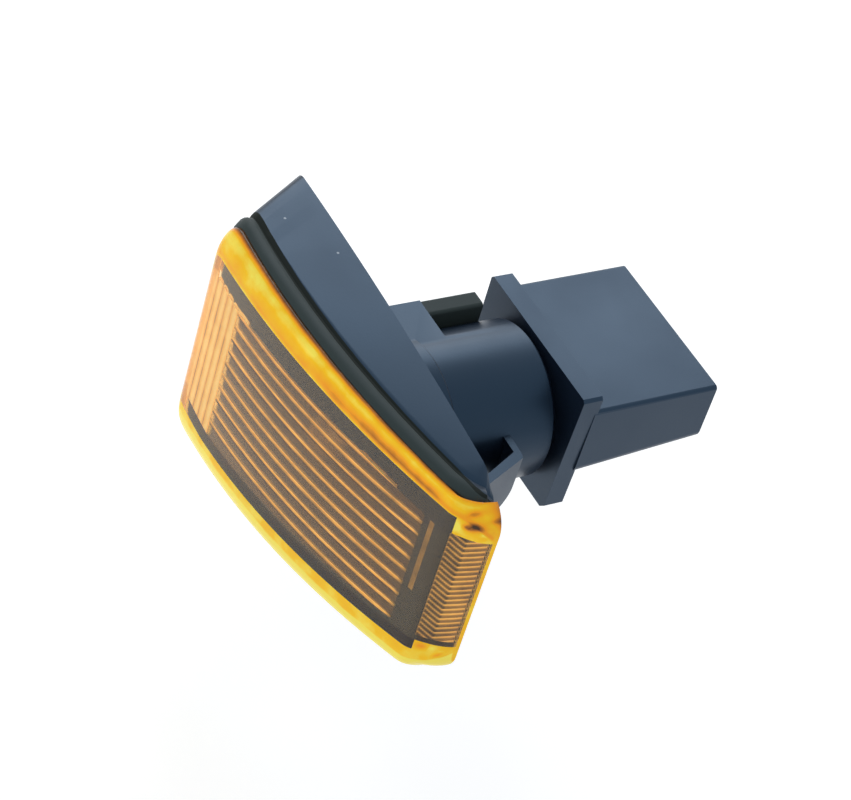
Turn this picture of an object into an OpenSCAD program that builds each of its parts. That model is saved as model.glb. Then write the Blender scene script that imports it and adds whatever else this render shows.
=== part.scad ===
// Side marker lamp: an amber lens welded to a black wedge housing, whose tube takes a bulb holder.
// X runs along the lamp, Y into the body of the car, Z up. The origin is on the tube axis,
// in the plane of the flat back that lies against the bodywork.

/* [Outline] */
// Half height of the sides at the tube axis
side_half_h = 21.1; // [17:0.1:26]
// Height that the upper edge loses for each millimetre towards the thin end
top_slope = 0.062; // [0:0.002:0.08]
// Height that the lower edge loses for each millimetre towards the thin end
bottom_slope = 0.052; // [0:0.002:0.08]
// Lower edge's half height below the upper one's, at the tube axis
bottom_less = 0.5; // [0:0.1:2]
// Rise of the upper edge above its chord
top_bulge = 1.3; // [0:0.1:2.5]
// Rise of the lower edge above its chord
bottom_bulge = 0.3; // [0:0.1:2.5]

/* [Seam] */
// Left end of the seam, from the tube axis
seam_left = 29; // [24:0.1:34]
// Right end of the seam, from the tube axis
seam_right = 37.4; // [32:0.1:42]
// Depth of the housing at the left end of the seam
seam_deep = 15.2; // [12:0.1:19]
// Depth of the housing where the seam starts to turn back on the right
seam_thin = 7.1; // [5.5:0.1:9]
// Rise of the seam above its chord
seam_sag = 3.5; // [1:0.1:5]
// Length of the stretch on the right where the seam turns back
seam_turn = 2.6; // [2:0.1:4]
// Depth of the housing at the very end of the seam on the right
seam_end_deep = 1.2; // [1:0.1:2.5]
// Corner radius of the outline at the left
corner_left = 4.5; // [3:0.1:6]
// Corner radius of the outline at the right
corner_right = 4.5; // [3:0.1:6]
// Gap left by the weld between lens and housing
weld_gap = 0.1; // [0.05:0.01:0.2]

/* [Lens] */
// Thickness of the lens
lens_wall = 2.2; // [1.6:0.1:3]
// Height of the lens in front of the seam at the left end
lens_rise_left = 3.1; // [2.4:0.1:5]
// Height of the lens in front of the seam near the right end
lens_rise_right = 1.4; // [1:0.1:3]
// Width of the rounded edge at the tube axis
edge_w = 3.9; // [3:0.1:5]
// Edge width lost for each millimetre towards the thin end
edge_slope = 0.04; // [0:0.005:0.05]
// Length of the rounding at the left end
round_left = 3; // [2:0.1:4]
// Length of the rounding at the right end
round_right = 4.8; // [3:0.1:6]
// Plain border between the rounded edge and the ribbed panel
border = 3; // [2:0.1:4]
// Left end of the ribbed panel, from the tube axis
panel_left = 24.4; // [20:0.1:24.4]
// Boundary between upright flutes and long ribs, left of the tube axis
flutes_end = 16.6; // [12:0.1:19]
// Right end of the ribbed panel, from the tube axis
panel_right = 29.4; // [26:0.1:30]
// Height of the upright flutes
flute_h = 0.45; // [0.2:0.05:0.7]
// Height of the long ribs
rib_h = 0.6; // [0.3:0.05:0.8]
// Height of the short ribs on the end wall
end_rib_h = 0.35; // [0.2:0.05:0.5]

/* [Housing] */
// Left end of the flat back, from the tube axis
back_left = 36.7; // [32:0.1:42]
// Right end of the flat back, from the tube axis
back_right = 30.8; // [28:0.1:34]
// Corner radius of the flat back at the deep end
back_corner = 1.8; // [1.2:0.1:3]
// Corner radius of the flat back at the thin end
back_corner_right = 3.6; // [2:0.1:4.5]
// How far the housing's rim draws in behind the lens's rim at the thin end
end_in = 1.3; // [0:0.1:1.5]
// Wall of the housing
housing_wall = 2.2; // [1.6:0.1:3]
// Thickness of the back wall
back_wall = 2; // [1.5:0.1:3]
// Width of the raised bead along the seam
bead_w = 3; // [2:0.1:4]
// Height of the raised bead
bead_h = 0.55; // [0.2:0.05:0.9]
// Depth of the groove behind the bead
groove_d = 0.3; // [0.1:0.05:0.5]

/* [Tube] */
// Outer diameter of the tube
tube_d = 26; // [24:0.1:28]
// Wall of the tube
tube_wall = 2; // [1.4:0.1:3]
// Length of the tube behind the flat back
tube_len = 26.3; // [22:0.1:30]
// Chamfer on the mouth of the tube
tube_chamfer = 0.7; // [0.3:0.1:0.9]
// Height of the step ring at the foot of the tube
step_h = 7.2; // [5:0.1:10]
// How far the step ring stands out from the tube
step_w = 0.4; // [0.3:0.1:1.2]
// Height of the square corner block beside the tube
block_h = 12.5; // [9:0.1:14]
// How far the block's top lies below the tube's top
block_low = 0.7; // [0:0.1:1.5]
// How far the block stands out beyond the tube's side
block_out = 0.2; // [0:0.1:1]
// Reach of the finger above the flat back
finger_reach = 22.7; // [18:0.1:24]
// Width of the finger
finger_w = 3.4; // [2.5:0.1:4]
// Thickness of the finger
finger_t = 4.6; // [3.8:0.1:5.4]

/* [Latch] */
// Width of the latch arm, up the lamp
latch_w = 10; // [7:0.1:12]
// Thickness of the latch arm where it leaves the tube
latch_t = 1.6; // [1.2:0.1:2]
// Rear of the latch arm at the tube, above the flat back
latch_root = 18; // [15:0.1:20]
// Inside reach of the bend from the tube axis
latch_in = 15.5; // [14.6:0.1:16.5]
// Outward lean of the arm, in degrees
latch_lean = 26; // [18:1:28]
// Gap between the arm's free end and the flat back, for the panel of the car's body
panel_gap = 2.6; // [1.5:0.1:3.5]
// Rounding of the arm's lower rear corner
latch_round = 3.6; // [2:0.1:4]

/* [Bulb holder] */
// How far the flange stands out beyond the tube on each side
flange_side = 2.25; // [1:0.05:4]
// How far the flange's top lies inside the tube's top
flange_top_in = 0; // [-1:0.1:1.5]
// How far the flange's bottom lies inside the tube's bottom
flange_low_in = 1; // [0:0.1:2]
// How much narrower the flange is at its bottom, on each side
flange_taper = 0.5; // [0:0.1:1.5]
// Thickness of the flange
flange_t = 3.6; // [2.5:0.1:5]
// Chamfer on the lower corners of the flange
flange_chamfer = 1; // [0.6:0.1:2]
// Gap between the tube and the flange, filled by the seal's lip
flange_gap = 0.9; // [0.6:0.1:1.4]
// Length of the plug shroud behind the flange
shroud_len = 23.3; // [19:0.1:26]
// Shroud above the tube axis
shroud_up = 9.9; // [8.5:0.1:11]
// Shroud below the tube axis
shroud_down = 2.1; // [1:0.1:3]
// How much lower the shroud's underside starts at the flange
shroud_drop = 2.2; // [0:0.1:4]
// Wall of the shroud
shroud_wall = 1.7; // [1.2:0.1:2.2]
// Depth of the socket in the shroud
socket_deep = 17; // [14:0.1:20]
// Rounding of the shroud's lower edges
shroud_round = 2; // [1:0.1:3]
// Clearance of the holder's barrel in the tube
barrel_play = 0.25; // [0.15:0.05:0.4]
// Depth of the holder's front face in the tube, above the flat back
barrel_front = 7; // [4:0.1:9]
// Cord diameter of the seal ring
seal_d = 2; // [1.6:0.1:2.4]

/* [Bulb] */
// Diameter of the bulb
bulb_d = 10; // [9:0.1:10.5]
// Length of the bulb in front of the holder
bulb_len = 17; // [14:0.1:18]
// Thickness of the glass
glass_t = 0.6; // [0.4:0.05:0.8]
// Length of the flat base in the holder
base_len = 8.4; // [7:0.1:9]
// Width of the flat base
base_w = 9.4; // [8.6:0.1:9.8]
// Thickness of the flat base
base_t = 2.5; // [2.2:0.1:3]
// Play of the base in its slot
base_play = 0.15; // [0.1:0.05:0.3]
// Diameter of the lead wires
lead_d = 0.5; // [0.4:0.05:0.6]
// Distance between the lead wires
lead_gap = 4.4; // [3.6:0.1:5]

/* [Contacts] */
// Width of the plug blades
blade_w = 6.3; // [4.8:0.1:6.3]
// Thickness of the contact metal
blade_t = 0.8; // [0.6:0.05:1]
// Distance between the plug blades, centre to centre
blade_gap = 13; // [11:0.1:14]
// How far the blades stop short of the shroud's mouth
blade_short = 5; // [3:0.1:8]
// Play of a contact in its slot
contact_play = 0.1; // [0.05:0.01:0.2]

/* [Hidden] */
$fn = 64;
lens_colour = [0.95, 0.55, 0.08, 0.6];
black_plastic = [0.16, 0.17, 0.19];
brass_colour = [0.78, 0.62, 0.3];
// How finely the moulded skins are stepped
corner_steps = 4;
end_steps = 8;
edge_steps = 3;
rib_rows = 40;
rows_in_a_rib = 3;
flute_steps = 10;
rib_steps = 8;
// Where the middle of the outline lies, and half its length
outline_mid = (seam_right - back_left) / 2;
outline_half = (seam_right + back_left) / 2;
r_tube = tube_d / 2;
r_bore = r_tube - tube_wall;
r_barrel = r_bore - barrel_play;
flange_front = tube_len + flange_gap;
flange_back = flange_front + flange_t;
shroud_back = flange_back + shroud_len;
socket_floor = shroud_back - socket_deep;
flange_w = tube_d + 2 * flange_side;
flange_up = r_tube - flange_top_in;
flange_down = r_tube - flange_low_in;
shroud_w = flange_w;
shroud_mid = (shroud_up - shroud_down) / 2;
shroud_lean = atan(shroud_drop / shroud_len);
block_top = r_tube - block_low;
block_side = r_tube + block_out;
finger_round = 0.6;

// Outline of the sides, seen from the front
function along(x) = (x - outline_mid) / outline_half;
function top_z(x) = side_half_h - top_slope * x - top_bulge * along(x) * along(x);
function bottom_z(x) = side_half_h - bottom_less - bottom_slope * x
    - bottom_bulge * along(x) * along(x);
function rise(x, up) = up ? top_z(x) : -bottom_z(x);
function sign_of(up) = up ? 1 : -1;

// The seam between lens and housing, as a depth for each x
function chord(x, x0, y0, x1, y1) = y0 + (y1 - y0) * (x - x0) / (x1 - x0);
function bow(x, x0, x1) = 4 * (x - x0) * (x1 - x) / ((x1 - x0) * (x1 - x0));
turn_x = seam_right - 5.6;
function seam_arc(x) = chord(x, -seam_left, -seam_deep, turn_x, -seam_thin)
    - seam_sag * bow(x, -seam_left, turn_x);
function quarter(t) = 1 - sqrt(max(0, 1 - t * t));
function slope(t) = 0.65 * (norm([t, 0.3]) - 0.3) / (norm([1, 0.3]) - 0.3) + 0.35 * pow(t, 8);
function mix(p, q, t) = p + (q - p) * t;
function seam_y(x) = mix(seam_arc(x), -seam_end_deep, quarter(min(1, max(0, x - turn_x) / seam_turn)));

// The front of the lens before its ends turn down to the seam
function front_arc(x) = seam_arc(x)
    - (lens_rise_left + (lens_rise_right - lens_rise_left) * (x + seam_left) / (turn_x + seam_left));
function front_y(x, inset) = let(
        x0 = -seam_left + inset,
        x1 = seam_right - inset,
        r0 = round_left - inset / 3,
        r1 = round_right - inset / 2,
        lift = inset,
        left_drop = seam_y(x0) - front_arc(x0) - lift,
        right_drop = seam_y(x1) - front_arc(x1) - lift)
    front_arc(x) + lift + left_drop * quarter(max(0, x0 + r0 - x) / r0)
    + right_drop * slope(max(0, x - x1 + r1) / r1);

// Stations along the lens: the ends are stepped by angle, the panel by its flutes and ribs
function left_end(inset) = [for (k = [0 : corner_steps])
    -seam_left + inset + (round_left - inset / 3) * (1 - sin(90 * k / corner_steps))];
function right_end(inset) = [for (k = [0 : end_steps])
    seam_right - inset - (round_right - inset / 2) * (1 - sin(90 * k / end_steps))];
function reversed(v) = [for (k = [len(v) - 1 : -1 : 0]) v[k]];
panel_stations = concat(
    [for (k = [0 : flute_steps]) -panel_left + (panel_left - flutes_end) * k / flute_steps],
    [for (k = [0 : rib_steps]) -flutes_end + 0.3 + (panel_right + flutes_end - 0.3) * k / rib_steps],
    [panel_right + 0.3]);
function lens_stations(inset) = concat(reversed(left_end(inset)), panel_stations, right_end(inset));
columns = len(lens_stations(0));
first_flute = corner_steps + 1;
first_rib = first_flute + flute_steps + 1;
last_rib = first_rib + rib_steps;
first_end = columns - end_steps;
rows = 2 * edge_steps + rib_rows + 3;
first_row = edge_steps + 1;

// Height of the outline's edge, with its corners rounded off
function corner_drop(x, x0, x1, r0, r1) = r0 * quarter(max(0, x0 + r0 - x) / r0)
    + r1 * quarter(max(0, x - x1 + r1) / r1);
function edge_z(x, up, inset) = sign_of(up) * (abs(rise(x, up)) - inset
    - corner_drop(x, -seam_left + inset, seam_right - inset,
        corner_left - inset / 2, corner_right - inset / 2));
function edge_width(x, inset) = edge_w - edge_slope * x - inset * 0.7;
function face_z(x, up, inset) = edge_z(x, up, inset) - sign_of(up) * edge_width(x, inset);
function panel_z(x, up, inset) = face_z(x, up, inset) - sign_of(up) * (border * 0.8 - inset * 0.3);

// Optics on the inner face: upright flutes, long ribs, and short ribs on the end wall
function row_in_panel(j) = j - first_row;
function in_panel(j) = row_in_panel(j) > 0 && row_in_panel(j) < rib_rows;
function is_ridge(i, j) = !in_panel(j) ? 0
    : i >= first_flute && i < first_rib - 1 ? ((i - first_flute) % 2) * flute_h
    : i >= first_rib && i < last_rib ? (row_in_panel(j) % rows_in_a_rib == 2 ? rib_h : 0)
    : 0;
function end_ridge(i, j) = in_panel(j) && i > first_end && i < columns - 1
    && row_in_panel(j) % 2 == 1 ? end_rib_h : 0;

// One point of the lens skin: rows run from the top rim over the face to the bottom rim
function lens_point(x, i, j, inset) = let(
        up = j <= rows / 2,
        q = up ? j : rows - 1 - j,
        a = 90 * min(q, edge_steps) / edge_steps,
        rim = edge_z(x, up, inset),
        wide = edge_width(x, inset),
        y = seam_y(x) + (front_y(x, inset) - seam_y(x)) * sin(a),
        t = (j - first_row) / rib_rows,
        z = q <= edge_steps ? rim - sign_of(up) * wide * (1 - cos(a))
            : mix(panel_z(x, true, inset), panel_z(x, false, inset), t))
    inset == 0 ? [x, y, z] : [x - end_ridge(i, j), y + is_ridge(i, j), z];
function skin(inset) = let(xs = lens_stations(inset))
    [for (i = [0 : columns - 1]) for (j = [0 : rows - 1]) lens_point(xs[i], i, j, inset)];
function at(i, j) = i * rows + j;
function two(a, b, c, d) = [[a, c, b], [a, d, c]];
function other_two(a, b, c, d) = [[a, d, b], [b, d, c]];
function falling(i, j) = (i < columns / 2) == (j < rows / 2);
function patch(a, b, c, d, i, j) = falling(i, j) ? two(a, b, c, d) : other_two(a, b, c, d);

module lens() {
    n = columns * rows;
    outer = [for (i = [0 : columns - 2]) for (j = [0 : rows - 2])
        each patch(at(i, j), at(i, j + 1), at(i + 1, j + 1), at(i + 1, j), i, j)];
    inner = [for (i = [0 : columns - 2]) for (j = [0 : rows - 2])
        each patch(n + at(i, j), n + at(i + 1, j), n + at(i + 1, j + 1), n + at(i, j + 1), i, j)];
    top = [for (i = [0 : columns - 2])
        each other_two(at(i, 0), at(i + 1, 0), n + at(i + 1, 0), n + at(i, 0))];
    bottom = [for (i = [0 : columns - 2]) let(j = rows - 1)
        each two(at(i, j), n + at(i, j), n + at(i + 1, j), at(i + 1, j))];
    left = [for (j = [0 : rows - 2])
        each two(at(0, j), n + at(0, j), n + at(0, j + 1), at(0, j + 1))];
    right = [for (j = [0 : rows - 2]) let(i = columns - 1)
        each two(at(i, j), at(i, j + 1), n + at(i, j + 1), n + at(i, j))];
    color(lens_colour)
        polyhedron(concat(skin(0), skin(lens_wall)), concat(outer, inner, top, bottom, left, right));
}

// Rings round the housing share their stations with the lens, so that both rims match
function station(i, inset) = lens_stations(inset)[i];
function middle(i) = (station(i, 0) - station(corner_steps, 0))
    / (station(first_end - 1, 0) - station(corner_steps, 0));
function corner_turn(i) = i <= corner_steps ? 180 - 90 * i / corner_steps
    : i < first_end ? 90
    : 90 - 90 * (i - first_end + 1) / end_steps;
function back_r(i) = i < columns / 2 ? back_corner : back_corner_right;
function back_x(i, inset) = let(x0 = -back_left + inset, x1 = back_right - inset)
    i <= corner_steps ? x0 + back_corner + back_corner * cos(corner_turn(i))
    : i < first_end ? mix(x0 + back_corner, x1 - back_corner_right, middle(i))
    : x1 - back_corner_right + back_corner_right * cos(corner_turn(i));
function lens_rim(i, up, inset) = let(x = station(i, inset)) [x, seam_y(x) + weld_gap, edge_z(x, up, inset)];
function drawn_in(i) = end_in / lens_wall * min(1, max(0, i - first_end + 2) / 4);
function rim_point(i, up, inset) = inset > 0 ? lens_rim(i, up, inset)
    : mix(lens_rim(i, up, 0), lens_rim(i, up, lens_wall), drawn_in(i))
    + [0, 6 * weld_gap * sign(drawn_in(i)), 0];
function back_point(i, up, inset, y) = let(x = back_x(i, inset))
    [x, y, sign_of(up) * (abs(rise(x, up)) - inset - back_r(i) * (1 - sin(corner_turn(i))))];
function wall_point(i, up, behind, out) = let(
        a = rim_point(i, up, 0),
        b = back_point(i, up, 0, 0),
        f = min(behind / norm(b - a), 0.8 * behind / (2 * bead_w)))
    a + (b - a) * f + out * [cos(corner_turn(i)), 0, sign_of(up) * sin(corner_turn(i))];
function round_trip(top, bottom) = concat(top, reversed(bottom));
function rim_ring(inset) = round_trip(
    [for (i = [0 : columns - 1]) rim_point(i, true, inset)],
    [for (i = [0 : columns - 1]) rim_point(i, false, inset)]);
function back_ring(inset, y) = round_trip(
    [for (i = [0 : columns - 1]) back_point(i, true, inset, y)],
    [for (i = [0 : columns - 1]) back_point(i, false, inset, y)]);
function wall_ring(behind, out) = round_trip(
    [for (i = [0 : columns - 1]) wall_point(i, true, behind, out)],
    [for (i = [0 : columns - 1]) wall_point(i, false, behind, out)]);

// The wedge shell: skin from the inner rim over the bead to the flat back, and the cavity
module wedge() {
    n = 2 * columns;
    rings = [
        rim_ring(housing_wall),
        rim_ring(0),
        wall_ring(bead_w * 0.2, bead_h * 0.75),
        wall_ring(bead_w * 0.5, bead_h),
        wall_ring(bead_w * 0.8, bead_h * 0.75),
        wall_ring(bead_w, 0),
        wall_ring(bead_w * 1.25, -groove_d),
        wall_ring(bead_w * 1.6, 0),
        back_ring(0, 0)];
    last = len(rings) - 1;
    floor_ring = back_ring(housing_wall, -back_wall);
    points = concat([for (r = rings) each r], floor_ring);
    side = [for (r = [0 : last - 1]) for (k = [0 : n - 1]) let(m = (k + 1) % n)
        each two(r * n + k, r * n + m, (r + 1) * n + m, (r + 1) * n + k)];
    cavity = [for (k = [0 : n - 1]) let(m = (k + 1) % n, f = (last + 1) * n)
        each two(k, f + k, f + m, m)];
    back = [[for (k = [n - 1 : -1 : 0]) last * n + k]];
    floor_face = [[for (k = [0 : n - 1]) (last + 1) * n + k]];
    polyhedron(points, concat(side, cavity, back, floor_face));
}

module along_y(y0, y1) {
    translate([0, y1, 0])
        rotate([90, 0, 0])
            linear_extrude(y1 - y0)
                children();
}

module tube_shell() {
    translate([0, tube_len, 0])
        rotate([90, 0, 0])
            rotate_extrude()
                polygon([[0, 0], [r_tube - tube_chamfer, 0], [r_tube, tube_chamfer],
                    [r_tube, tube_len - step_h - step_w], [r_tube + step_w, tube_len - step_h],
                    [r_tube + step_w, tube_len + back_wall / 2], [0, tube_len + back_wall / 2]]);
}

// Square corner block at the upper left of the tube, and the finger that stands on it
module corner_block() {
    translate([-block_side, -back_wall / 2, 0])
        cube([block_side, block_h + back_wall / 2, block_top]);
}

module finger() {
    translate([-block_side, 0, block_top - finger_t])
        along_y(block_h - 1, finger_reach) {
            square([finger_w, finger_t - finger_round]);
            for (x = [finger_round, finger_w - finger_round])
                translate([x, finger_t - finger_round])
                    circle(finger_round);
            translate([finger_round, 0])
                square([finger_w - 2 * finger_round, finger_t]);
        }
}

// Spring latch: a bend on the tube and an arm that leans out towards the panel
module latch() {
    bend_y = latch_root - 1;
    inner_y = latch_root - latch_t - 0.2;
    tip_in = latch_in + (inner_y - panel_gap) * tan(latch_lean);
    tip_out = latch_in + latch_t + (bend_y - panel_gap) * tan(latch_lean - 3);
    intersection() {
        translate([0, 0, -latch_w / 2])
            linear_extrude(latch_w)
                difference() {
                    polygon([[0, inner_y + 0.2], [latch_in, inner_y], [tip_in, panel_gap],
                        [tip_out - 0.4, panel_gap], [tip_out, panel_gap + 0.5],
                        [latch_in + latch_t + 0.3, bend_y - 0.7], [latch_in + latch_t, bend_y],
                        [latch_in + latch_t - 0.7, bend_y + 0.3], [0, latch_root]]);
                    circle(r_bore + 0.5);
                }
        rotate([90, 0, 90])
            linear_extrude(2 * tip_out)
                latch_side();
    }
}

// The latch seen from the thin end, with its lower rear corner rounded
module latch_side() {
    half = latch_w / 2;
    bend_y = latch_root - 1;
    union() {
        translate([0, -half + latch_round])
            square([latch_root + 1, latch_w - latch_round]);
        translate([0, -half])
            square([bend_y - latch_round, latch_w]);
        translate([bend_y - latch_round, -half + latch_round])
            circle(latch_round);
    }
}

module housing() {
    color(black_plastic)
        difference() {
            union() {
                wedge();
                tube_shell();
                corner_block();
                finger();
                latch();
            }
            translate([0, tube_len + 1, 0])
                rotate([90, 0, 0])
                    cylinder(r = r_bore, h = tube_len + back_wall + 2);
        }
}

// Groove for the seal ring: its centre lies this far inside the tube's mouth
seal_y = tube_len - 3;
r_groove = r_bore - seal_d * 0.8;

module barrel() {
    translate([0, flange_front, 0])
        rotate([90, 0, 0])
            rotate_extrude()
                polygon([[0, 0], [r_barrel, 0], [r_barrel, flange_front - seal_y - seal_d / 2 - 0.2],
                    [r_groove, flange_front - seal_y - seal_d / 2 - 0.2],
                    [r_groove, flange_front - seal_y + seal_d / 2 + 0.2],
                    [r_barrel, flange_front - seal_y + seal_d / 2 + 0.2],
                    [r_barrel, flange_front - barrel_front - 0.8],
                    [r_barrel - 0.8, flange_front - barrel_front], [0, flange_front - barrel_front]]);
}

module flange_outline() {
    half = flange_w / 2;
    low = half - flange_taper;
    polygon([[-half, flange_up - 0.5], [-half + 0.5, flange_up], [half - 0.5, flange_up],
        [half, flange_up - 0.5], [low, -flange_down + flange_chamfer],
        [low - flange_chamfer, -flange_down], [-low + flange_chamfer, -flange_down],
        [-low, -flange_down + flange_chamfer]]);
}

// Shroud section: nearly sharp at the top, well rounded along the bottom
module shroud_outline(inset, r_top, r_low, lower = 0, higher = 0) {
    half = shroud_w / 2 - inset;
    z0 = -shroud_down - lower + inset;
    z1 = shroud_up + higher - inset;
    union() {
        translate([-half, z0 + r_low])
            square([2 * half, z1 - z0 - r_low - r_top]);
        translate([-half + r_low, z0])
            square([2 * (half - r_low), r_low + 1]);
        translate([-half + r_top, z1 - r_top - 1])
            square([2 * (half - r_top), r_top + 1]);
        for (s = [-1, 1]) {
            translate([s * (half - r_low), z0 + r_low])
                circle(r_low);
            translate([s * (half - r_top), z1 - r_top])
                circle(r_top);
        }
    }
}

// The shroud's body: level on top, its underside leaning up towards the plug
module shroud_body() {
    intersection() {
        along_y(flange_back - 0.5, shroud_back)
            shroud_outline(0, 0.7, 1, shroud_drop + 2, 0);
        translate([0, shroud_back, -shroud_down])
            rotate([shroud_lean, 0, 0])
                translate([0, 0, shroud_down])
                    along_y(-shroud_len - 3, 3)
                        shroud_outline(0, 1, shroud_round, 0, shroud_drop + 2);
    }
}

module bulb_holder() {
    color(black_plastic)
        difference() {
            union() {
                barrel();
                along_y(flange_front, flange_back)
                    flange_outline();
                shroud_body();
            }
            along_y(socket_floor, shroud_back + 1)
                shroud_outline(shroud_wall, 0.5, shroud_round * 0.6);
            bulb_slot();
            for (s = [-1, 1])
                contact(s, contact_play);
        }
}

// The slot that takes the bulb's flat base, open to the front
module bulb_slot() {
    along_y(barrel_front - 1, barrel_front + base_len + 0.3)
        square([base_w + 2 * base_play, base_t + 2 * base_play + 2 * blade_t + 0.3], center = true);
}

// A stamped contact: a spring leaf beside the bulb's base, a web through the holder, and a blade
module contact(s, play) {
    leaf_z = s * (base_t / 2 + base_play + blade_t / 2);
    leaf_x = s * lead_gap / 2;
    leaf_y0 = barrel_front + 1;
    web_y = flange_back - 2.2;
    blade_x = s * blade_gap / 2;
    leaf_w = 3 + 2 * play;
    t = blade_t + 2 * play;
    translate([leaf_x - leaf_w / 2, leaf_y0 - play, leaf_z - t / 2])
        cube([leaf_w, web_y - leaf_y0 + t, t]);
    translate([min(leaf_x - leaf_w / 2, blade_x - blade_w / 2 - play), web_y - play, min(leaf_z, shroud_mid) - t / 2])
        cube([abs(blade_x - leaf_x) + leaf_w / 2 + blade_w / 2 + play, t, abs(shroud_mid - leaf_z) + t]);
    translate([blade_x - blade_w / 2 - play, web_y - play, shroud_mid - t / 2])
        cube([blade_w + 2 * play, shroud_back - blade_short - web_y + 2 * play, t]);
}

module contact_left() {
    color(brass_colour)
        contact(-1, 0);
}

module contact_right() {
    color(brass_colour)
        contact(1, 0);
}

module seal_ring() {
    color([0.1, 0.1, 0.1])
        translate([0, seal_y, 0])
            rotate([90, 0, 0])
                rotate_extrude()
                    translate([(r_groove + r_bore) / 2, 0])
                        circle((r_bore - r_groove) / 2 - 0.05);
}

// Profile of the bulb, from the holder's face to the tip
module bulb_profile(r, tip) {
    union() {
        square([r, tip - r]);
        translate([0, tip - r])
            intersection() {
                circle(r);
                square([r, r]);
            }
    }
}

module bulb_glass() {
    r = bulb_d / 2;
    color([0.9, 0.95, 1, 0.35]) {
        difference() {
            union() {
                translate([0, barrel_front - 0.2, 0])
                    rotate([90, 0, 0])
                        rotate_extrude()
                            bulb_profile(r, bulb_len);
                along_y(barrel_front - 1, barrel_front + base_len)
                    square([base_w, base_t], center = true);
            }
            translate([0, barrel_front - 3, 0])
                rotate([90, 0, 0])
                    rotate_extrude()
                        bulb_profile(r - glass_t, bulb_len - 2.8 - glass_t);
        }
    }
}

lead_y0 = barrel_front - 3;
filament_y = barrel_front - 11;

module lead(s) {
    color([0.6, 0.6, 0.62])
        translate([s * lead_gap / 2, lead_y0, 0])
            rotate([90, 0, 0])
                cylinder(d = lead_d, h = lead_y0 - filament_y);
}

module bulb_lead_left() {
    lead(-1);
}

module bulb_lead_right() {
    lead(1);
}

// The filament: a slim arch between the two leads
module bulb_filament() {
    r = lead_gap / 2;
    color([0.35, 0.35, 0.37])
        translate([0, filament_y, 0])
            rotate([0, 0, 180])
                rotate_extrude(angle = 180)
                    translate([r, 0])
                        circle(0.3);
}

lens();
housing();
bulb_holder();
seal_ring();
bulb_glass();
bulb_filament();
bulb_lead_left();
bulb_lead_right();
contact_left();
contact_right();
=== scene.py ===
import bpy
import bmesh
import math
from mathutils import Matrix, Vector


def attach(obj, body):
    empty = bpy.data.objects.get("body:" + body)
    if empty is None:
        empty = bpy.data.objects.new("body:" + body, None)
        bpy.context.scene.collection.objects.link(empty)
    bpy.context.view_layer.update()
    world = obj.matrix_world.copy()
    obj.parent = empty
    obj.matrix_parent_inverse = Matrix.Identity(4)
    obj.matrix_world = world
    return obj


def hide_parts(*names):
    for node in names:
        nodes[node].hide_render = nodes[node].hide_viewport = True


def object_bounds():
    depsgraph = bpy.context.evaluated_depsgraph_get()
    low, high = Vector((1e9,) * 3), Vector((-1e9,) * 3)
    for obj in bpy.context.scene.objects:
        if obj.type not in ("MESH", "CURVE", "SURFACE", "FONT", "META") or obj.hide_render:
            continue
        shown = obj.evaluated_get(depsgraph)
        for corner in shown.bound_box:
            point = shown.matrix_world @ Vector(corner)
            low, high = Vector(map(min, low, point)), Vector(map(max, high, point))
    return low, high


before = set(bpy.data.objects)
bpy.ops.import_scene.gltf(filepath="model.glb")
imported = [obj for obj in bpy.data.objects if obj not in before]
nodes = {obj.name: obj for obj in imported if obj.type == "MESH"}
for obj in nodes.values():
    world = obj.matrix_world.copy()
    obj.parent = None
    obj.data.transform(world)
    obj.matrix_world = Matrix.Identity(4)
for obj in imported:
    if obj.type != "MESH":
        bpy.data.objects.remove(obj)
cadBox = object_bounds()
mm = 0.001
print("frame loaded:", len(nodes), "nodes")

# camera and light
view = {
    "place": (0.26775, -0.22009, 0.31284),
    "turn": (47.2704, -13.4575, 61.5978),
    "focal": 125.19, "sensor": 36, "near": 0.01,
}
studio = {
    "target": (0.0, 0.015, 0.0),
    "backPlace": (-0.42, 0.27, 0.33), "backSize": 0.36, "backPower": 1.08,
    "fillPlace": (0.10, -0.55, 0.10), "fillSize": 0.4, "fillPower": 0.8,
    "seenSky": 1.0, "skyLight": 0.5, "skyColour": (0.92, 0.96, 1, 1),
}
camData = bpy.data.cameras.new("camera")
camData.lens = view["focal"]
camData.sensor_width = view["sensor"]
camData.clip_start = view["near"]
camera = bpy.data.objects.new("camera", camData)
camera.location = view["place"]
camera.rotation_euler = [math.radians(a) for a in view["turn"]]
bpy.context.scene.collection.objects.link(camera)
bpy.context.scene.camera = camera
bpy.context.scene.view_settings.view_transform = "Standard"


def addSoftbox(name, place, size, power):
    lightData = bpy.data.lights.new(name, "AREA")
    lightData.shape = "RECTANGLE"
    lightData.size = lightData.size_y = size
    lightData.energy = power
    lamp = bpy.data.objects.new(name, lightData)
    lamp.location = place
    aim = Vector(studio["target"]) - Vector(place)
    lamp.rotation_euler = aim.to_track_quat("-Z", "Y").to_euler()
    bpy.context.scene.collection.objects.link(lamp)
    return lamp


addSoftbox("topBackLight", studio["backPlace"], studio["backSize"], studio["backPower"])
frontFill = addSoftbox("frontFill", studio["fillPlace"], studio["fillSize"], studio["fillPower"])
frontFill.visible_glossy = False  # else it shows in the lens as a white square


def addMath(tree, operation, *values):
    # a Math node, each value a socket or a number
    node = tree.nodes.new("ShaderNodeMath")
    node.operation = operation
    for sock, value in zip(node.inputs, values):
        if isinstance(value, float):
            sock.default_value = value
        else:
            tree.links.new(value, sock)
    return node.outputs[0]


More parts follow.
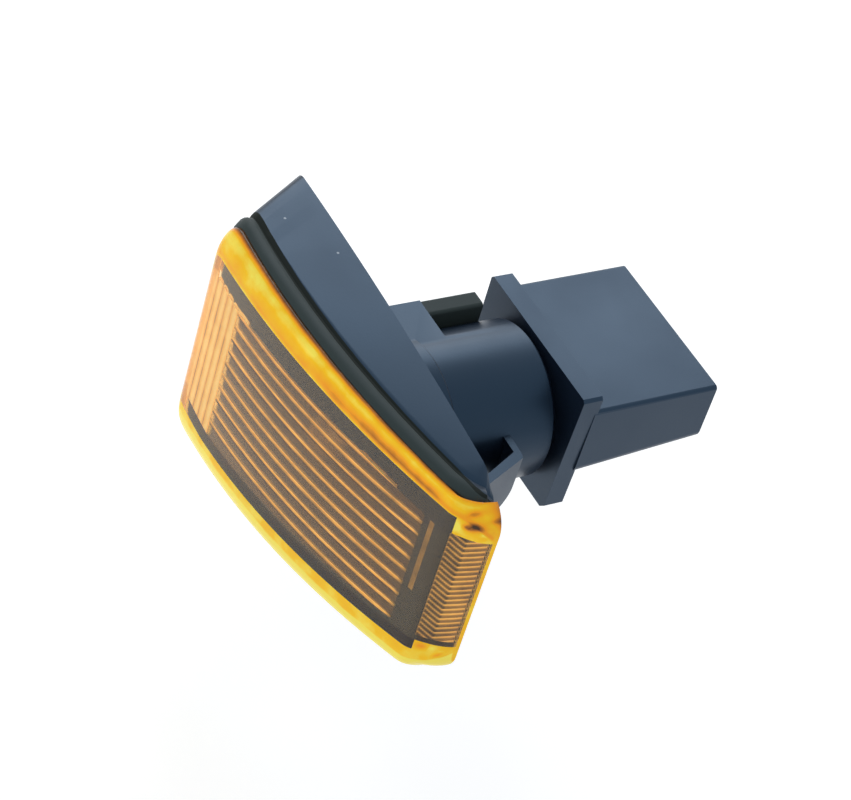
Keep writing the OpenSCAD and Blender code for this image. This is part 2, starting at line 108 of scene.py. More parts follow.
def maxOfRays(tree, names):
    # 1 for a ray of any of these kinds, else 0
    path = tree.nodes.new("ShaderNodeLightPath")
    last = path.outputs[names[0]]
    for name in names[1:]:
        last = addMath(tree, "MAXIMUM", last, path.outputs[name])
    return last


seenRays = ("Is Camera Ray", "Is Glossy Ray", "Is Transmission Ray")


def makeWorld():
    # white where it is seen, a weaker blue-white where it lights
    world = bpy.data.worlds.new("studio")
    bpy.context.scene.world = world
    world.use_nodes = True
    tree = world.node_tree
    tree.nodes.clear()
    out = tree.nodes.new("ShaderNodeOutputWorld")
    back = tree.nodes.new("ShaderNodeBackground")
    mix = tree.nodes.new("ShaderNodeMixShader")
    fill = tree.nodes.new("ShaderNodeBackground")
    back.inputs["Color"].default_value = (1, 1, 1, 1)
    back.inputs["Strength"].default_value = studio["seenSky"]
    fill.inputs["Color"].default_value = studio["skyColour"]
    fill.inputs["Strength"].default_value = studio["skyLight"]
    tree.links.new(maxOfRays(tree, seenRays), mix.inputs[0])
    tree.links.new(fill.outputs[0], mix.inputs[1])
    tree.links.new(back.outputs[0], mix.inputs[2])
    tree.links.new(mix.outputs[0], out.inputs[0])


makeWorld()


# shared node groups
def makeGroup(name, inputs, outputs):
    group = bpy.data.node_groups.new(name, "ShaderNodeTree")
    for label, value in inputs:
        sock = group.interface.new_socket(name=label, in_out="INPUT",
            socket_type="NodeSocketFloat")
        sock.default_value = value
    for label in outputs:
        group.interface.new_socket(name=label, in_out="OUTPUT", socket_type="NodeSocketFloat")
    into = group.nodes.new("NodeGroupInput")
    out = group.nodes.new("NodeGroupOutput")
    return group, into, out


def makeGrainGroup():
    # moulded grain: fine noise as a height, slow noise as a mask
    group, into, out = makeGroup("mouldedGrain",
        [("Grain Scale", 2500.0), ("Patch Scale", 60.0)], ["Height", "Patches"])
    coord = group.nodes.new("ShaderNodeTexCoord")
    layers = (("Grain Scale", "Height", 3.0), ("Patch Scale", "Patches", 4.0))
    for scaleName, outName, detail in layers:
        noise = group.nodes.new("ShaderNodeTexNoise")
        noise.inputs["Detail"].default_value = detail
        group.links.new(coord.outputs["Object"], noise.inputs["Vector"])
        group.links.new(into.outputs[scaleName], noise.inputs["Scale"])
        group.links.new(noise.outputs["Fac"], out.inputs[outName])
    return group


def makeSpeckGroup():
    # dust: a mask of tiny dots, at the points of a few of the scattered cells
    group, into, out = makeGroup("dustSpecks",
        [("Spread", 110.0), ("Size", 0.025), ("Share", 0.12)], ["Specks"])
    coord = group.nodes.new("ShaderNodeTexCoord")
    cells = group.nodes.new("ShaderNodeTexVoronoi")
    split = group.nodes.new("ShaderNodeSeparateColor")
    group.links.new(coord.outputs["Object"], cells.inputs["Vector"])
    group.links.new(into.outputs["Spread"], cells.inputs["Scale"])
    group.links.new(cells.outputs["Color"], split.inputs[0])
    small = addMath(group, "LESS_THAN", cells.outputs["Distance"], into.outputs["Size"])
    few = addMath(group, "LESS_THAN", split.outputs[0], into.outputs["Share"])
    group.links.new(addMath(group, "MULTIPLY", small, few), out.inputs["Specks"])
    return group


grainGroup = makeGrainGroup()
speckGroup = makeSpeckGroup()


def newMaterial(name):
    mat = bpy.data.materials.new(name)
    mat.use_nodes = True
    tree = mat.node_tree
    return mat, tree, tree.nodes["Principled BSDF"]


def placeGroup(tree, group, **values):
    node = tree.nodes.new("ShaderNodeGroup")
    node.node_tree = group
    for label, value in values.items():
        node.inputs[label.replace("_", " ")].default_value = value
    return node


def mixColours(tree, factor, first, second):
    mix = tree.nodes.new("ShaderNodeMix")
    mix.data_type = "RGBA"
    tree.links.new(factor, mix.inputs[0])
    for sock, colour in ((mix.inputs[6], first), (mix.inputs[7], second)):
        if isinstance(colour, tuple):
            sock.default_value = (*colour, 1)
        else:
            tree.links.new(colour, sock)
    return mix.outputs[2]


def addBump(tree, shader, height, strength, distance):
    bump = tree.nodes.new("ShaderNodeBump")
    bump.inputs["Strength"].default_value = strength
    bump.inputs["Distance"].default_value = distance
    tree.links.new(height, bump.inputs["Height"])
    tree.links.new(bump.outputs["Normal"], shader.inputs["Normal"])


finish = {
    "patchLow": 0.3, "patchHigh": 0.7,  # the noise values between which the roughness changes
    "grainDeep": 0.00002, "clearDeep": 0.0001,
    "glowBump": 0.05, "glowShift": 0.5, "glowCentre": -0.25,
    "refraction": 1.49, "coatRough": 0.05,
}


def makePlastic(name, dark, light, rough, roughSpread, bump, dust=(0.4, 0.42, 0.44), metal=0.0,
        tint=(1, 1, 1), level=0.5):
    mat, tree, shader = newMaterial(name)
    grain = placeGroup(tree, grainGroup)
    specks = placeGroup(tree, speckGroup)
    tone = mixColours(tree, grain.outputs["Patches"], dark, light)
    dusty = mixColours(tree, specks.outputs["Specks"], tone, dust)
    tree.links.new(dusty, shader.inputs["Base Color"])
    roughMap = tree.nodes.new("ShaderNodeMapRange")
    roughMap.inputs["From Min"].default_value = finish["patchLow"]
    roughMap.inputs["From Max"].default_value = finish["patchHigh"]
    roughMap.inputs["To Min"].default_value = rough - roughSpread
    roughMap.inputs["To Max"].default_value = rough + roughSpread
    tree.links.new(grain.outputs["Patches"], roughMap.inputs["Value"])
    tree.links.new(roughMap.outputs["Result"], shader.inputs["Roughness"])
    shader.inputs["Metallic"].default_value = metal
    shader.inputs["Specular Tint"].default_value = (*tint, 1)
    shader.inputs["Specular IOR Level"].default_value = level
    addBump(tree, shader, grain.outputs["Height"], bump, finish["grainDeep"])
    return mat


# painted reflection colour: the bluish colour of the studio light in the shine is painted into the
# plastics' specular tint
paintedBlueShine = (0.31, 0.61, 1.0)  # tint of the shine on black plastic
palePaintedBlueShine = (0.6, 0.75, 1.0)
blackPlastic = makePlastic("blackPlastic", (0.005, 0.009, 0.018), (0.008, 0.014, 0.026),
    0.36, 0.05, 0.3, tint=paintedBlueShine, level=0.62)
holderPlastic = makePlastic("holderPlastic", (0.006, 0.010, 0.020), (0.009, 0.015, 0.028),
    0.38, 0.05, 0.3, tint=paintedBlueShine, level=0.7)
# painted shade: the bead along the weld and the finger get an even, dull mid-dark finish with
# little shine, which stands in for the shade their form gets
paintedShadePlastic = makePlastic("paintedShadePlastic", (0.036, 0.050, 0.048), (0.046, 0.060, 0.057),
    0.55, 0.05, 0.3, tint=palePaintedBlueShine, level=0.16)
# painted shade: the groove behind the bead is painted near-black with hardly any shine, for the
# shade in it
grooveShadePlastic = makePlastic("grooveShadePlastic", (0.016, 0.022, 0.020), (0.022, 0.028, 0.026),
    0.6, 0.05, 0.3, level=0.05)
# the housing's inside behind the lens: its black plastic, painted darker and duller than outside as
# shade in the closed housing
cavityShadePlastic = makePlastic("cavityShadePlastic", (0.002, 0.002, 0.002), (0.004, 0.004, 0.004),
    0.7, 0.05, 0.0, dust=(0.02, 0.02, 0.02), level=0.1)
ringRubber = makePlastic("ringRubber", (0.008, 0.008, 0.009), (0.014, 0.014, 0.015),
    0.7, 0.05, 0.5)
contactBrass = makePlastic("contactBrass", (0.62, 0.47, 0.22), (0.72, 0.58, 0.32),
    0.3, 0.08, 0.2, dust=(0.5, 0.38, 0.2), metal=1.0)
wireSteel = makePlastic("wireSteel", (0.42, 0.42, 0.43), (0.55, 0.55, 0.56),
    0.28, 0.05, 0.1, metal=1.0)


def makeClear(name, colours, rough, transmission, bump, level=0.5, tint=(1, 1, 1)):
    mat, tree, shader = newMaterial(name)
    grain = placeGroup(tree, grainGroup, Grain_Scale=300.0, Patch_Scale=90.0)
    tone = mixColours(tree, grain.outputs["Patches"], *colours)
    tree.links.new(tone, shader.inputs["Base Color"])
    addBump(tree, shader, grain.outputs["Height"], bump, finish["clearDeep"])
    shader.inputs["Roughness"].default_value = rough
    shader.inputs["Transmission Weight"].default_value = transmission
    shader.inputs["IOR"].default_value = finish["refraction"]
    shader.inputs["Specular IOR Level"].default_value = level
    shader.inputs["Specular Tint"].default_value = (*tint, 1)
    return mat


def makePaintedGlow(name, stops, rough, transmission, coat, level, emission):
    # painted light: amber whose colour and emission follow the piece's glow attribute, painted
    # bright where light is piped through the plastic and dark where it is shaded, made uneven by
    # slow noise
    mat, tree, shader = newMaterial(name)
    glow = tree.nodes.new("ShaderNodeAttribute")
    glow.attribute_name = "glow"
    grain = placeGroup(tree, grainGroup, Grain_Scale=900.0, Patch_Scale=260.0)
    shift = addMath(tree, "MULTIPLY_ADD", grain.outputs["Patches"], finish["glowShift"],
        finish["glowCentre"])
    depth = addMath(tree, "ADD", shift, glow.outputs["Fac"])
    ramp = tree.nodes.new("ShaderNodeValToRGB")
    ramp.color_ramp.elements[0].position = stops[0][0]
    ramp.color_ramp.elements[0].color = (*stops[0][1], 1)
    ramp.color_ramp.elements[1].position = stops[-1][0]
    ramp.color_ramp.elements[1].color = (*stops[-1][1], 1)
    for place, colour in stops[1:-1]:
        ramp.color_ramp.elements.new(place).color = (*colour, 1)
    tree.links.new(depth, ramp.inputs["Fac"])
    tree.links.new(ramp.outputs["Color"], shader.inputs["Base Color"])
    # painted glow: the ramp's colour is also sent out as emission, so the amber glows though it is
    # no lamp
    tree.links.new(ramp.outputs["Color"], shader.inputs["Emission Color"])
    shader.inputs["Emission Strength"].default_value = emission
    addBump(tree, shader, grain.outputs["Height"], finish["glowBump"], finish["clearDeep"])
    shader.inputs["Roughness"].default_value = rough
    shader.inputs["Transmission Weight"].default_value = transmission
    shader.inputs["IOR"].default_value = finish["refraction"]
    shader.inputs["Specular IOR Level"].default_value = level
    shader.inputs["Coat Weight"].default_value = coat
    shader.inputs["Coat Roughness"].default_value = finish["coatRough"]
    return mat


amberClear = makeClear("amberClear", ((1.0, 0.68, 0.30), (1.0, 0.64, 0.26)),
    0.02, 1.0, 0.01, level=0.32, tint=(0.75, 0.85, 1.0))
amberFace = makeClear("amberFace", ((1.0, 0.70, 0.32), (1.0, 0.66, 0.28)),
    0.02, 1.0, 0.01, level=0.15)
amberPanel = makeClear("amberPanel", ((0.75, 0.42, 0.10), (0.9, 0.5, 0.14)),
    0.15, 0.88, 0.05, level=0.1)
# painted light: the relief inside and the rounded edge outside are painted bright and dark amber by
# the glow attribute
amberInside = makePaintedGlow("amberInside", [(0.0, (0.02, 0.015, 0.01)), (0.2, (0.12, 0.09, 0.05)),
    (0.5, (0.5, 0.33, 0.10)), (0.8, (1.0, 0.70, 0.22)), (1.0, (1.0, 0.86, 0.45))],
    0.25, transmission=0.0, coat=0.0, level=0.1, emission=0.22)
amberEdge = makePaintedGlow("amberEdge", [(0.0, (0.06, 0.03, 0.012)), (0.3, (0.5, 0.16, 0.012)),
    (0.55, (0.95, 0.36, 0.006)), (0.85, (1.0, 0.58, 0.008)), (1.0, (1.0, 0.82, 0.10))],
    0.15, transmission=0.1, coat=0.15, level=0.1, emission=0.2)
bulbGlass = makeClear("bulbGlass", ((0.95, 0.97, 0.97), (0.98, 0.99, 0.99)), 0.02, 1.0, 0.01)

for nodeName, mat in (("housing", blackPlastic), ("bulb_holder", holderPlastic),
        ("seal_ring", ringRubber), ("bulb_glass", bulbGlass), ("bulb_filament", wireSteel),
        ("bulb_lead_left", wireSteel), ("bulb_lead_right", wireSteel),
        ("contact_left", contactBrass), ("contact_right", contactBrass), ("lens", amberClear)):
    for slot in nodes[nodeName].material_slots:
        slot.material = mat
print("materials made")


# lens: sizes in mm, x along the lamp, z up, y into the fender
lens = {
    "left": -29.0, "right": 37.4, "turn": 31.8, "turnLength": 2.6,
    "deep": -15.2, "thin": -7.1, "sag": 3.5, "endDeep": -1.2,
    "riseLeft": 3.1, "riseRight": 1.4, "wall": 2.2,
    "edge": 3.9, "edgeSlope": 0.04, "edgeInset": 0.7,
    "roundLeft": 3.0, "roundRight": 4.8, "corner": 4.5,
    "topHalf": 21.1, "topSlope": 0.062, "topBulge": 1.3,
    "lowHalf": 20.6, "lowSlope": 0.052, "lowBulge": 0.3,
    "midX": 0.35, "halfX": 37.05,
    "flutesStart": -27.4, "flutesEnd": -18.0, "flutes": 5, "fluteHeight": 0.4,
    "ribsEnd": 28.1, "ribTop": 11.7, "ribPitch": 2.63, "ribs": 10, "ribWide": 0.7, "ribHeight": 0.6,
    "endStart": 32.3, "endSplit": 33.95, "endPitch": 1.05, "endRibHeight": 0.3,
    "outerLean": 0.8, "innerLean": -0.9,
    "join": 0.002,  # skin points this close to each other are joined
}
panel = {  # the ribbed panel inside, and how its relief dies out at the border
    "top": 12.5, "topBow": 0.0021, "low": -14.9, "lowSlope": 0.06, "lowFrom": -19,
    "leftRise": 0.2, "leftDrop": 0.18, "endRise": 1.9, "endFrom": 31.8, "endRun": 1.6,
    "gap": 0.3, "fade": 0.35, "leftGap": 0.2, "leftFade": 0.8,
}
zones = {  # where one finish of the lens meets the next; lowStrip counts as rowPlace does
    "leftSkin": -27.8, "leftCorner": -26.6, "leftInside": -25.9, "leftRim": -26.4,
    "rightRim": 37.2, "capStart": 33.9, "lowStrip": 1.3, "ribLit": 0.1,
    "stripStart": 29.3, "stripEnd": 30.1, "stripLow": -4,
}
# painted light and shade on the amber lens, given as glow values
paintedGlows = {  # 0 dark, 1 bright; the first three go from the weld to the face
    "left": [(0, 0.0), (0.12, 0.08), (0.2, 0.5), (0.3, 0.9), (0.45, 1.0), (0.58, 0.86),
        (0.85, 0.76), (1, 0.5)],
    "right": [(0, 0.05), (0.12, 0.3), (0.25, 0.75), (0.45, 0.9), (0.6, 0.6), (0.8, 0.25),
        (0.92, 0.55), (1, 0.4)],
    "corner": [(0, 0.4), (0.15, 0.6), (0.4, 0.85), (0.7, 0.78), (0.85, 0.55), (1, 0.62)],
    "rightFrom": -4, "rightRun": 24, "cornerFrom": 29, "cornerRun": 3,
    "low": 1.1, "leftEnd": 0.7, "rightEnd": 0.8, "cap": 0.86, "strip": 0.35,
    "flute": 0.4, "fluteCrest": 0.6, "flutePower": 0.6, "rib": 0.45, "ribCrest": 0.35,
    "outerRib": 0.3, "innerRib": 0.14, "endCrest": 0.55,
    "capSpots": [(34.2, 13.6, 0.8, 0.25), (35.7, 14.3, 0.7, -0.8), (35.0, 13.9, 0.5, -0.5),
        (36.9, 13.4, 0.5, 0.3), (34.9, 16.4, 0.5, -0.5), (36.8, 15.8, 0.45, -0.6),
        (34.6, -12.6, 0.6, -0.35), (35.8, -12.8, 0.5, 0.2), (36.3, -13.6, 0.4, -0.4)],
}
columns = {"turn": 24, "leftEnd": 5, "leftStep": 3, "flutes": 44, "ribs": 36, "strip": 12,
    "gap": 0.1}
rows = {"edge": 10, "border": 4, "high": 13.6, "low": -15.7, "step": 0.14}
rows["middle"] = round((rows["high"] - rows["low"]) / rows["step"])
rows["total"] = 2 * rows["edge"] + 2 * rows["border"] + rows["middle"]
onPanel = 3  # the distance from the rim that rowPlace gives for the panel


def limit(value, low=0.0, high=1.0):
    return min(high, max(low, value))


def blendAt(value, points):
    # straight lines between the points, level past the ends
    for (a, p), (b, q) in zip(points, points[1:]):
        if value <= b:
            return p + (q - p) * limit((value - a) / (b - a))
    return points[-1][1]


def rise(x, up):
    side = "top" if up else "low"
    bow = ((x - lens["midX"]) / lens["halfX"]) ** 2
    return lens[side + "Half"] - lens[side + "Slope"] * x - lens[side + "Bulge"] * bow


def seamArc(x):
    t = (x - lens["left"]) / (lens["turn"] - lens["left"])
    return lens["deep"] + (lens["thin"] - lens["deep"]) * t - 4 * lens["sag"] * t * (1 - t)


def quarter(t):
    # drop of a quarter circle, 0 to 1
    return 1 - math.sqrt(max(0.0, 1 - t * t))


def slope(t):
    # the sloped end wall: a soft start, then nearly straight, with a short steep end
    start, share, steep = 0.3, 0.65, 8
    soft = (math.hypot(t, start) - start) / (math.hypot(1, start) - start)
    return share * soft + (1 - share) * t ** steep


def seamDepth(x):
    # y of the weld, which turns back round the thin end
    t = quarter(limit((x - lens["turn"]) / lens["turnLength"]))
    return seamArc(x) * (1 - t) + lens["endDeep"] * t


def frontArc(x):
    t = (x - lens["left"]) / (lens["turn"] - lens["left"])
    return seamArc(x) - (lens["riseLeft"] + (lens["riseRight"] - lens["riseLeft"]) * t)


def skinEnds(inset):
    # both ends of a skin along x, and how long each one's turn is
    return (lens["left"] + inset, lens["right"] - inset,
        lens["roundLeft"] - inset / 3, lens["roundRight"] - inset / 2)


def frontDepth(x, inset):
    x0, x1, r0, r1 = skinEnds(inset)
    leftDrop = seamDepth(x0) - frontArc(x0) - inset
    rightDrop = seamDepth(x1) - frontArc(x1) - inset
    return (frontArc(x) + inset + leftDrop * quarter(limit((x0 + r0 - x) / r0))
        + rightDrop * slope(max(0.0, x - x1 + r1) / r1))


def edgeHeight(x, up, inset):
    x0, x1 = skinEnds(inset)[:2]
    r = lens["corner"] - inset / 2
    ends = (x0 + r - x, x - x1 + r)
    return rise(x, up) - inset - r * quarter(limit(ends[0] / r)) - r * quarter(limit(ends[1] / r))


def edgeWidth(x, inset):
    return lens["edge"] - lens["edgeSlope"] * x - inset * lens["edgeInset"]


def panelTop(x, inset):
    leftEnd = panel["leftRise"] * max(0.0, lens["flutesEnd"] - x)
    rightEnd = panel["endRise"] * limit((x - panel["endFrom"]) / panel["endRun"])
    line = panel["top"] - panel["topBow"] * x * x + (leftEnd + rightEnd)
    return min(line, edgeHeight(x, True, inset) - edgeWidth(x, inset) - panel["gap"])


def panelLow(x, inset):
    leftEnd = panel["leftDrop"] * max(0.0, lens["flutesEnd"] - x)
    line = panel["low"] + panel["lowSlope"] * (x - panel["lowFrom"]) + leftEnd
    return max(line, edgeWidth(x, inset) + panel["gap"] - edgeHeight(x, False, inset))


def spread(first, last, count):
    return [first + (last - first) * k / count for k in range(count)]


def columnPlaces(inset):
    x0, x1, r0, r1 = skinEnds(inset)
    turn = [math.pi / 2 * k / columns["turn"] for k in range(columns["turn"] + 1)]
    leftTurn = [turn[columns["leftStep"] * k] for k in range(columns["leftEnd"])]
    leftEnd = [x0 + r0 * (1 - math.cos(a)) for a in leftTurn]
    rightEnd = [x1 - r1 * (1 - math.sin(a)) for a in turn]
    flutes = spread(leftEnd[-1] + columns["gap"], lens["flutesEnd"], columns["flutes"])
    ribs = spread(lens["flutesEnd"], lens["ribsEnd"], columns["ribs"])
    strip = spread(lens["ribsEnd"], x1 - r1 - columns["gap"], columns["strip"])
    return leftEnd + flutes + ribs + strip + rightEnd


def rowPlace(x, j, inset):
    # height of a row, its share of the lens's rise, and how far it lies from the rim:
    # 0 to 1 on the rounded edge, 1 to 2 on the border, onPanel between the borders
    up = j <= rows["total"] / 2
    sign = 1 if up else -1
    q = j if up else rows["total"] - j
    rim = edgeHeight(x, up, inset)
    wide = edgeWidth(x, inset)
    if q <= rows["edge"]:
        a = math.pi / 2 * q / rows["edge"]
        return sign * (rim - wide * (1 - math.cos(a))), math.sin(a), q / rows["edge"]
    face = sign * (rim - wide)
    side = panelTop(x, inset) if up else panelLow(x, inset)
    t = (q - rows["edge"]) / rows["border"]
    if t < 1:
        return face + (side - face) * t, 1, 1 + t
    z = rows["high"] - rows["step"] * (j - rows["edge"] - rows["border"])
    return limit(z, panelLow(x, inset), panelTop(x, inset)), 1, onPanel


def ribWave(z):
    # 1 on the crest of a long rib, 0 between the ribs
    k = round((lens["ribTop"] - z) / lens["ribPitch"])
    if not 0 <= k < lens["ribs"]:
        return 0.0
    off = abs(z - lens["ribTop"] + k * lens["ribPitch"]) / (lens["ribWide"] / 2)
    return math.cos(math.pi / 2 * off) if off < 1 else 0.0


def edgeGlow(x, u, up):
    # painted light across the rounded edge: painted dark at the weld and bright in the middle
    if not up:
        return paintedGlows["low"]
    s = limit((x - paintedGlows["rightFrom"]) / paintedGlows["rightRun"])
    end = limit((x - paintedGlows["cornerFrom"]) / paintedGlows["cornerRun"])
    side = blendAt(u, paintedGlows["left"]) * (1 - s) + blendAt(u, paintedGlows["right"]) * s
    return side * (1 - end) + blendAt(u, paintedGlows["corner"]) * end


def capGlow(x, z):
    # painted highlights and shade on the facets of the end's two caps, each a soft spot painted
    # brighter or darker
    glow = paintedGlows["cap"]
    for spotX, spotZ, size, amount in paintedGlows["capSpots"]:
        glow += amount * math.exp(-((x - spotX) ** 2 + (z - spotZ) ** 2) / size ** 2)
    return glow


def outerGlow(x, z, u, up):
    if x > zones["rightRim"]:
        return paintedGlows["rightEnd"]
    if x < zones["leftSkin"] or x < zones["leftCorner"] and u > 1:
        return paintedGlows["leftEnd"]
    if u >= 1:
        return capGlow(x, z)
    glow = edgeGlow(x, u, up)
    return glow + min(0.0, capGlow(x, z) - paintedGlows["cap"]) if z > 0 else glow


def innerRelief(x, z, inset):
    # how far the relief moves a point along x and y, and its painted glow, brighter on the crests
    fade = limit((panelTop(x, inset) - z) / panel["fade"])
    fade *= limit((z - panelLow(x, inset)) / panel["fade"])
    fade *= limit((x - lens["left"] - inset - panel["leftGap"]) / panel["leftFade"])
    if x < lens["flutesEnd"]:
        along = (x - lens["flutesStart"]) / (lens["flutesEnd"] - lens["flutesStart"])
        wave = math.sin(math.pi * (along * lens["flutes"] % 1))
        glow = paintedGlows["flute"] + paintedGlows["fluteCrest"] * wave ** paintedGlows["flutePower"]
        return 0.0, lens["fluteHeight"] * wave * fade, glow
    if x < lens["ribsEnd"]:
        wave = ribWave(z)
        return 0.0, lens["ribHeight"] * wave * fade, paintedGlows["rib"] + paintedGlows["ribCrest"] * wave
    if x < lens["endStart"]:
        return 0.0, 0.0, paintedGlows["strip"]
    outer = x > lens["endSplit"]
    lean = lens["outerLean"] if outer else lens["innerLean"]
    t = (z - lean * (x - lens["endSplit"])) / lens["endPitch"] % 1
    wave = max(0.0, math.sin(2 * math.pi * t))
    glow = (paintedGlows["outerRib"] if outer else paintedGlows["innerRib"]) + paintedGlows["endCrest"] * wave
    return -lens["endRibHeight"] * wave * fade, 0.0, glow


def skinPoint(x, j, inset):
    z, share, u = rowPlace(x, j, inset)
    seam = seamDepth(x)
    y = seam + (frontDepth(x, inset) - seam) * share
    if inset == 0:
        return Vector((x, y, z)), outerGlow(x, z, u, j <= rows["total"] / 2)
    if u < onPanel:
        return Vector((x, y, z)), paintedGlows["leftEnd"] if x < lens["flutesEnd"] else 0.0
    moveX, moveY, glow = innerRelief(x, z, inset)
    return Vector((x + moveX, y + moveY, z)), glow


def faceZone(x, z, u, inset):
    # 0 clear, 1 between the ribs, 2 relief and strip inside, painted lit, 3 rounded edge
    # outside, painted lit, 4 clear in front of the panel
    if inset == 0:
        if x < zones["leftSkin"] or x < zones["leftCorner"] and 1 <= u < onPanel:
            return 2
        cap = u < onPanel and x > zones["capStart"]
        edge = u < (1 if z > 0 else zones["lowStrip"])
        if edge or cap or x > zones["rightRim"]:
            return 3
        return 4 if u == onPanel else 0
    if x < zones["leftInside"]:
        return 2
    if u < onPanel:
        return 0
    if x < lens["flutesEnd"] or x > lens["endStart"]:
        return 2
    if x < lens["ribsEnd"]:
        return 2 if ribWave(z) > zones["ribLit"] else 1
    lit = zones["stripStart"] < x < zones["stripEnd"] and z > zones["stripLow"]
    return 2 if lit else 0


def buildSkin(bm, inset):
    places = columnPlaces(inset)
    last = len(places) - 1
    glowLayer = bm.verts.layers.float["glow"]
    made = bmesh.ops.create_grid(bm, x_segments=last, y_segments=rows["total"], size=1)
    steps = {v: (round((v.co.x + 1) / 2 * last), round((1 - v.co.y) / 2 * rows["total"]))
        for v in made["verts"]}
    for v, (i, j) in steps.items():
        v.co, v[glowLayer] = skinPoint(places[i], j, inset)
    for f in {f for v in made["verts"] for f in v.link_faces}:
        i = sorted(steps[v][0] for v in f.verts)
        j = sorted(steps[v][1] for v in f.verts)
        x = (places[i[0]] + places[i[-1]]) / 2
        ends = [rowPlace(x, k, inset) for k in (j[0], j[-1])]
        z = (ends[0][0] + ends[1][0]) / 2
        f.material_index = faceZone(x, z, min(ends[0][2], ends[1][2]), inset)


def addPiece(name, bm, materials, node):
    bmesh.ops.scale(bm, vec=(mm, mm, mm), verts=bm.verts)
    mesh = bpy.data.meshes.new(name)
    bm.to_mesh(mesh)
    bm.free()
    piece = bpy.data.objects.new(name, mesh)
    bpy.context.scene.collection.objects.link(piece)
    for mat in materials:
        mesh.materials.append(mat)
    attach(piece, "root")
    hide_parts(node)
    print(name, "made:", len(mesh.polygons), "faces")
    return piece


def buildLens():
    bm = bmesh.new()
    bm.verts.layers.float.new("glow")
    buildSkin(bm, 0)
    buildSkin(bm, lens["wall"])
    rims = [e for e in bm.edges if e.is_boundary]
    made = bmesh.ops.bridge_loops(bm, edges=rims)
    for f in made["faces"]:
        f.material_index = 2 if f.calc_center_median().x < zones["leftRim"] else 0
    bmesh.ops.remove_doubles(bm, verts=bm.verts, dist=lens["join"])
    bmesh.ops.recalc_face_normals(bm, faces=bm.faces)
    for f in bm.faces:
        f.smooth = True
    finishes = (amberClear, amberPanel, amberInside, amberEdge, amberFace)
    return addPiece("lensMoulding", bm, finishes, "lens")


buildLens()


# housing and bulb holder: the CAD shapes with small edge radii and their own finishes
softening = {"merge": 0.005, "flat": 0.4, "sharp": 35, "bevelSteps": 3, "nearCut": 0.01,
    "onPlane": 0.001, "faceWeight": 80}


def softenNode(node, part):
    bm = bmesh.new()
    bm.from_mesh(nodes[node].data)
    bmesh.ops.scale(bm, vec=(1 / mm, 1 / mm, 1 / mm), verts=bm.verts)
    bmesh.ops.remove_doubles(bm, verts=bm.verts, dist=softening["merge"])
    bmesh.ops.dissolve_limit(bm, angle_limit=math.radians(softening["flat"]), verts=bm.verts,
        edges=bm.edges)
    for offset in part["cuts"]:
        cutAlongSeam(bm, offset)
    if part["standing"]:
        bmesh.ops.bisect_plane(bm, geom=bm.verts[:] + bm.edges[:] + bm.faces[:],
            dist=softening["onPlane"], plane_co=(0, part["standing"], 0), plane_no=(0, 1, 0))
    least = math.radians(softening["sharp"])
    sharp = [e for e in bm.edges if e.is_manifold and e.calc_face_angle(0) > least]
    bmesh.ops.bevel(bm, geom=sharp, offset=part["bevel"], offset_type="OFFSET", affect="EDGES",
        segments=softening["bevelSteps"], profile=0.5, material=-1, clamp_overlap=True)
    for f in bm.faces:
        f.smooth = True
        f.material_index = part["zone"](f.calc_center_median(), f.normal)
    return addPiece(part["name"], bm, part["materials"], node)


def pastSeam(place, offset):
    # how far a place lies behind the line at this distance from the weld
    return place.y - seamDepth(min(place.x, blackParts["housing"]["seamEnd"])) - offset


def cutAlongSeam(bm, offset):
    # splits every face that the line at this distance from the weld crosses
    fresh = []
    for e in list(bm.edges):
        first, second = (pastSeam(v.co, offset) for v in e.verts)
        if first * second < 0 and min(abs(first), abs(second)) > softening["nearCut"]:
            fresh.append(bmesh.utils.edge_split(e, e.verts[0], first / (first - second))[1])
    bmesh.ops.connect_verts(bm, verts=fresh)


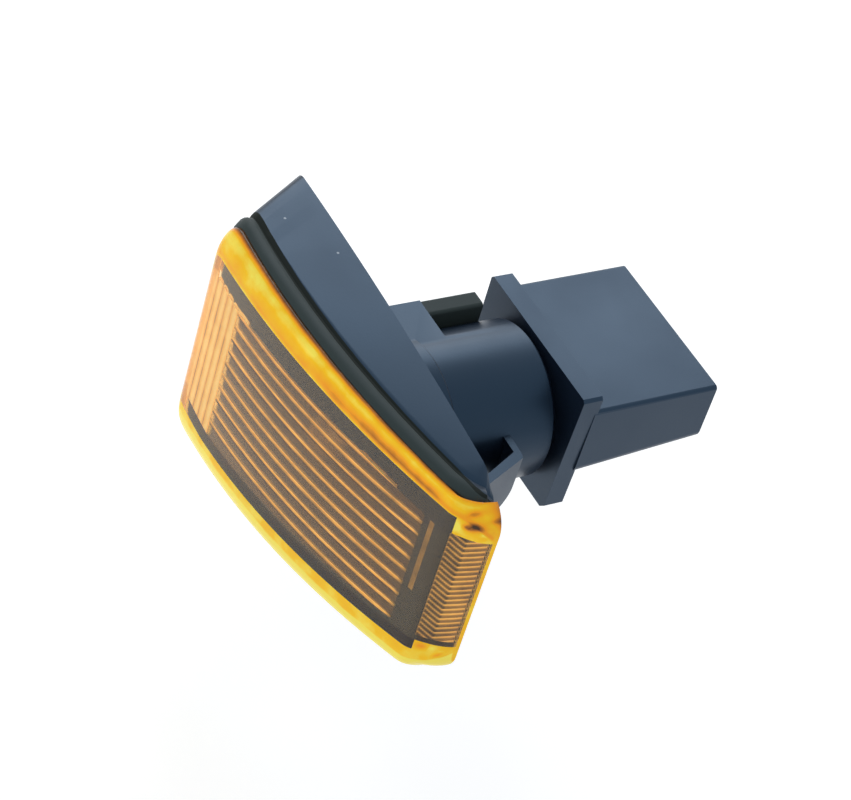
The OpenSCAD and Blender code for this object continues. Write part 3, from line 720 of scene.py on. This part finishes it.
def housingZone(place, normal):
    # 0 outside, 1 the bead along the weld and the finger on the corner block, painted
    # darker and duller as shade, 2 the inside that shows through the lens, painted darker as shade,
    # 3 the groove, painted near-black as shade
    part = blackParts["housing"]
    bead, groove = part["cuts"]
    fingerX, fingerY, fingerZ = part["fingerX"], part["standing"], part["fingerZ"]
    if place.y > part["backWall"]:
        return 1 if place.x < fingerX and place.y > fingerY and place.z > fingerZ else 0
    if normal.dot(Vector(part["middle"]) - place) > 0:
        return 2
    if abs(place.z) < part["sideFrom"] or pastSeam(place, groove) > 0:
        return 0
    return 3 if pastSeam(place, bead) > 0 else 1


def holderZone(place, normal):
    return 0  # one finish all over


blackParts = {
    "housing": {"name": "housingShell", "slot": "housing_plastic", "bevel": 0.15,
        "materials": (blackPlastic, paintedShadePlastic, cavityShadePlastic, grooveShadePlastic),
        "zone": housingZone, "middle": (0.0, -9.0, 0.0),
        "cuts": (3.0, 4.2),  # where the bead and the groove end, from the weld
        "seamEnd": 36.0, "backWall": -0.5, "sideFrom": 12,
        "standing": 12.5, "fingerX": -9.6, "fingerZ": 5},
    "bulb_holder": {"name": "holderMoulding", "slot": "holder_plastic", "bevel": 0.2,
        "materials": (holderPlastic,), "zone": holderZone, "cuts": (), "standing": 0},
}
for node, part in blackParts.items():
    piece = softenNode(node, part)
    flat = piece.modifiers.new("flatFaces", "WEIGHTED_NORMAL")
    flat.weight = softening["faceWeight"]
    flat.keep_sharp = True


# floor
paper = {"half": 1.5, "drop": 0.03, "colour": (0.9, 0.9, 0.9, 1), "rough": 0.9, "level": 0.1,
    "seenGlow": 0.5}


def makeFloor():
    bm = bmesh.new()
    bmesh.ops.create_grid(bm, x_segments=2, y_segments=2, size=paper["half"])
    mesh = bpy.data.meshes.new("floor")
    bm.to_mesh(mesh)
    bm.free()
    floor = bpy.data.objects.new("floor", mesh)
    floor.location.z = cadBox[0][2] - paper["drop"]
    bpy.context.scene.collection.objects.link(floor)
    mat, tree, shader = newMaterial("floorPaper")
    shader.inputs["Base Color"].default_value = paper["colour"]
    shader.inputs["Roughness"].default_value = paper["rough"]
    shader.inputs["Specular IOR Level"].default_value = paper["level"]
    shader.inputs["Emission Color"].default_value = (1, 1, 1, 1)
    glow = addMath(tree, "MULTIPLY", maxOfRays(tree, seenRays), paper["seenGlow"])
    tree.links.new(glow, shader.inputs["Emission Strength"])
    mesh.materials.append(mat)


makeFloor()
